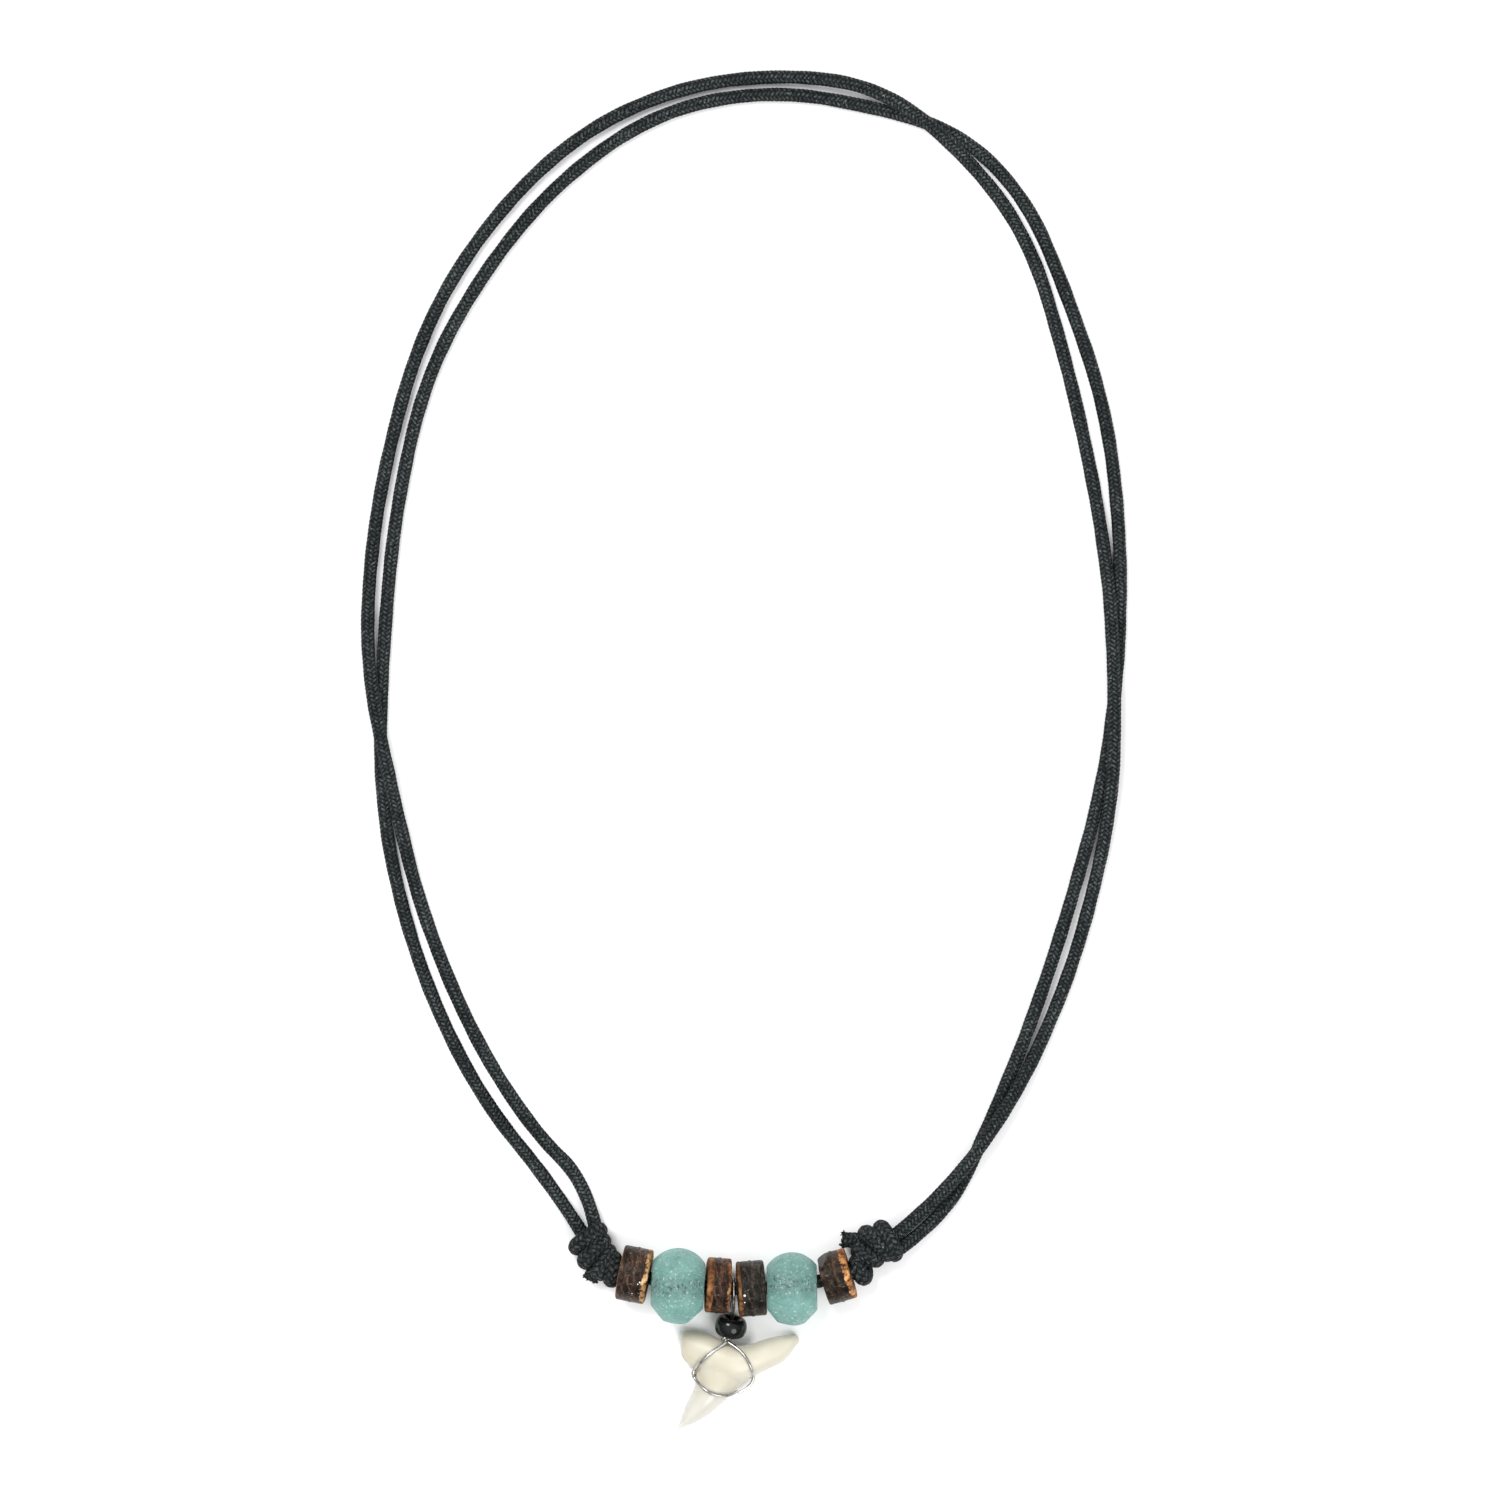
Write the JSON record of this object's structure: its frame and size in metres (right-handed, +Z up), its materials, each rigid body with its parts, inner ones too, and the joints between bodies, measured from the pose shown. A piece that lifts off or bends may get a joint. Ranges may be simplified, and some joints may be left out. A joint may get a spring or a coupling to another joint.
{
  "type": "shark tooth necklace",
  "caption": "Waxed cord necklace with coconut shell and frosted glass beads, sliding knots and a wire wrapped shark tooth.",
  "frame": {"origin": "on the surface that the necklace lies on, under the middle of the beads, knots and pendant", "axes": "+X along the bead row towards the right end, +Y from the pendant to the back of the neck, +Z up from the surface"},
  "size_m": [0.1072, 0.1904, 0.0107],
  "materials": {
    "cord": "waxed braided cotton",
    "coconut_shell": "polished dark shell",
    "frosted_glass": "frosted recycled glass",
    "black_glass": "gloss",
    "tooth": "matt root and glossy blade",
    "wire": "bright silver"
  },
  "bodies": {
    "root": {"bead_cord": "cord", "black_bead": "black_glass", "coco_bead_1": "coconut_shell", "coco_bead_2": "coconut_shell", "coco_bead_3": "coconut_shell", "coco_bead_4": "coconut_shell", "cord_strand_lower": "cord", "cord_strand_upper": "cord", "glass_bead_1": "frosted_glass", "glass_bead_2": "frosted_glass", "knot_left": "cord", "knot_right": "cord", "pendant_wire": "wire", "shark_tooth": "tooth"}
  },
  "joints": []
}
